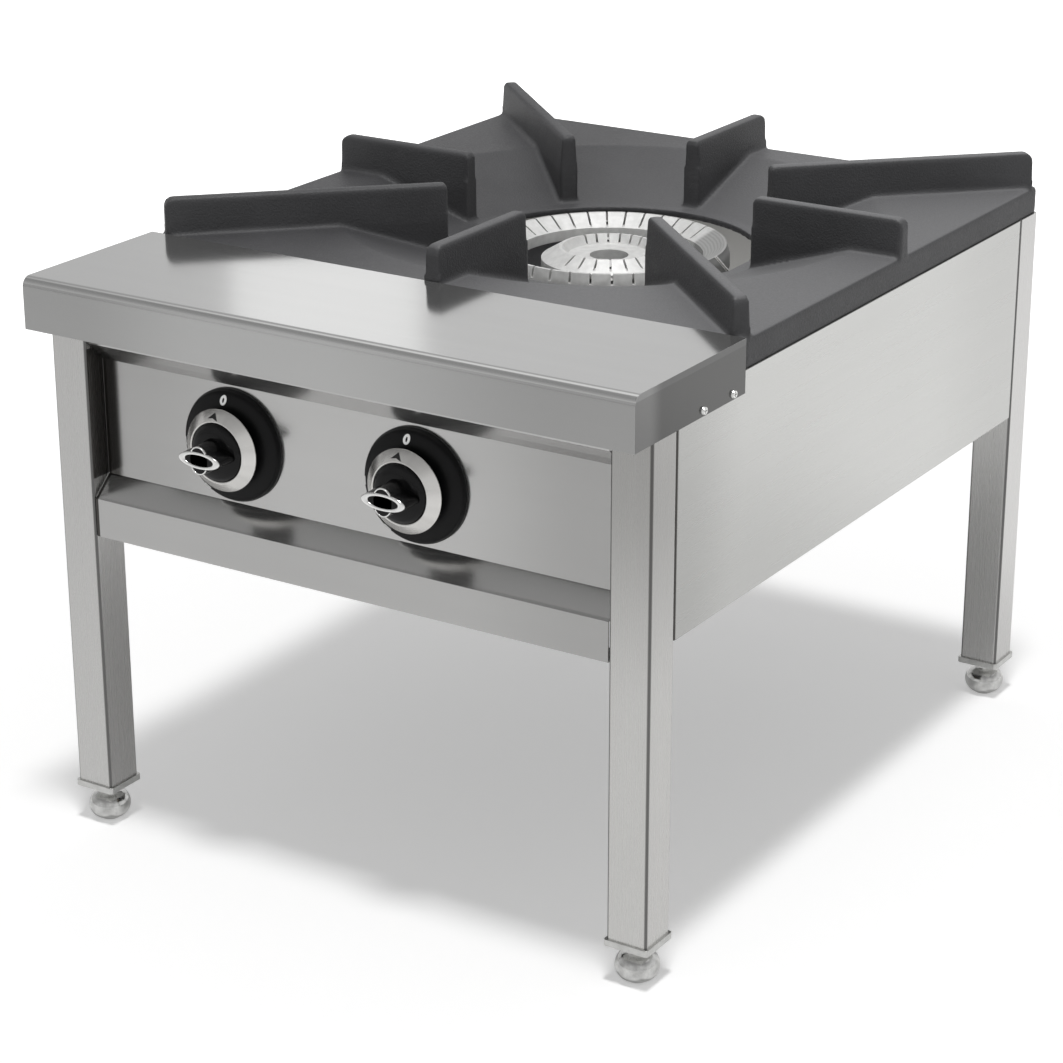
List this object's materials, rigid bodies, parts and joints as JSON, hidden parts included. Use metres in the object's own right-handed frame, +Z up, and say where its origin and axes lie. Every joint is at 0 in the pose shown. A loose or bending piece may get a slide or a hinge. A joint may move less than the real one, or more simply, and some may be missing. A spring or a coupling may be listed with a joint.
{
  "type": "stock pot range",
  "caption": "Low square gas stock pot range: steel stand with front shelf, ball feet and recessed knobs, dished cast iron grate with raised pot ribs over a double ring burner.",
  "frame": {"origin": "on the floor, at the bottom centre of the whole part's bounding box", "axes": "+X to the right seen from the front, +Y from the knobs to the back, +Z up"},
  "size_m": [0.6076, 0.756, 0.553],
  "materials": {
    "stainless": "fine brushed stainless steel sheet",
    "zinc_sheet": "galvanised steel",
    "bright_zinc": "bright zinc-plated steel",
    "chrome": "polished plated steel",
    "screw_steel": "plain bright steel",
    "enamelled_iron": "satin dark grey enamel on cast iron",
    "burner_iron": "bare grey cast iron",
    "burner_cap": "bright machined metal",
    "pipe_steel": "galvanised gas pipe",
    "brass": "machined brass",
    "copper": "drawn copper tube",
    "probe_steel": "drawn steel probe and lead",
    "black_plastic": "satin black moulded plastic",
    "satin_ring": "satin silver, brushed round",
    "bright_trim": "thin bright inlay"
  },
  "bodies": {
    "stand": {"leg_front_left": "stainless", "leg_front_right": "stainless", "leg_back_left": "stainless", "leg_back_right": "stainless", "leg_cap_left": "black_plastic", "leg_cap_right": "black_plastic", "foot_plate_front_left": "bright_zinc", "foot_plate_front_right": "bright_zinc", "foot_plate_back_left": "bright_zinc", "foot_plate_back_right": "bright_zinc", "front_panel": "stainless", "side_panel_left": "stainless", "side_panel_right": "stainless", "back_panel": "stainless", "front_cross_rail": "zinc_sheet", "back_cross_rail": "stainless", "burner_bar_front": "zinc_sheet", "burner_bar_back": "zinc_sheet", "shelf": "stainless", "skirt_screws": "screw_steel", "outer_burner": "burner_iron", "inner_burner": "burner_iron", "outer_mixer": "burner_iron", "inner_mixer": "burner_iron", "manifold": "pipe_steel", "gas_inlet": "brass", "supply_pipe_outer": "copper", "supply_pipe_inner": "copper", "injector_outer": "brass", "injector_inner": "brass", "injector_bracket": "zinc_sheet", "air_shutter_outer": "zinc_sheet", "air_shutter_inner": "zinc_sheet", "thermocouple_outer": "probe_steel", "thermocouple_inner": "probe_steel", "probe_brackets": "zinc_sheet", "valve_body_left": "brass", "valve_body_right": "brass", "valve_screws": "screw_steel", "bezel_left": "black_plastic", "bezel_right": "black_plastic"},
    "foot_front_left": {"foot_front_left": "chrome"},
    "foot_front_right": {"foot_front_right": "chrome"},
    "foot_back_left": {"foot_back_left": "chrome"},
    "foot_back_right": {"foot_back_right": "chrome"},
    "grate": {"grate": "enamelled_iron"},
    "outer_cap": {"outer_cap": "burner_cap"},
    "inner_cap": {"inner_cap": "burner_cap"},
    "plug_left": {"valve_plug_left": "brass"},
    "plug_right": {"valve_plug_right": "brass"},
    "knob_left": {"spindle_left": "screw_steel", "knob_body_left": "black_plastic", "knob_ring_left": "satin_ring", "knob_trim_left": "bright_trim"},
    "knob_right": {"spindle_right": "screw_steel", "knob_body_right": "black_plastic", "knob_ring_right": "satin_ring", "knob_trim_right": "bright_trim"}
  },
  "joints": [
    {"name": "knob_left_turn", "type": "hinge", "parent": "stand", "child": "plug_left", "pos_m": [-0.12, -0.327, 0.3905], "axis": [0, -1, 0], "range_deg": [0, 150]},
    {"name": "knob_left_push", "type": "slide", "parent": "plug_left", "child": "knob_left", "axis": [0, 1, 0], "range_m": [0, 0.005], "stiffness_N_per_m": 1500, "springref_m": -0.003},
    {"name": "knob_right_turn", "type": "hinge", "parent": "stand", "child": "plug_right", "pos_m": [0.067, -0.327, 0.3905], "axis": [0, -1, 0], "range_deg": [0, 150]},
    {"name": "knob_right_push", "type": "slide", "parent": "plug_right", "child": "knob_right", "axis": [0, 1, 0], "range_m": [0, 0.005], "stiffness_N_per_m": 1500, "springref_m": -0.003},
    {"name": "grate_lift", "type": "slide", "parent": "stand", "child": "grate", "axis": [0, 0, 1], "range_m": [0, 0.05]},
    {"name": "outer_cap_lift", "type": "slide", "parent": "stand", "child": "outer_cap", "axis": [0, 0, 1], "range_m": [0, 0.1]},
    {"name": "inner_cap_lift", "type": "slide", "parent": "stand", "child": "inner_cap", "axis": [0, 0, 1], "range_m": [0, 0.1]},
    {"name": "foot_front_left_screw", "type": "slide", "parent": "stand", "child": "foot_front_left", "axis": [0, 0, 1], "range_m": [-0.02, 0]},
    {"name": "foot_front_right_screw", "type": "slide", "parent": "stand", "child": "foot_front_right", "axis": [0, 0, 1], "range_m": [-0.02, 0]},
    {"name": "foot_back_left_screw", "type": "slide", "parent": "stand", "child": "foot_back_left", "axis": [0, 0, 1], "range_m": [-0.02, 0]},
    {"name": "foot_back_right_screw", "type": "slide", "parent": "stand", "child": "foot_back_right", "axis": [0, 0, 1], "range_m": [-0.02, 0]}
  ]
}
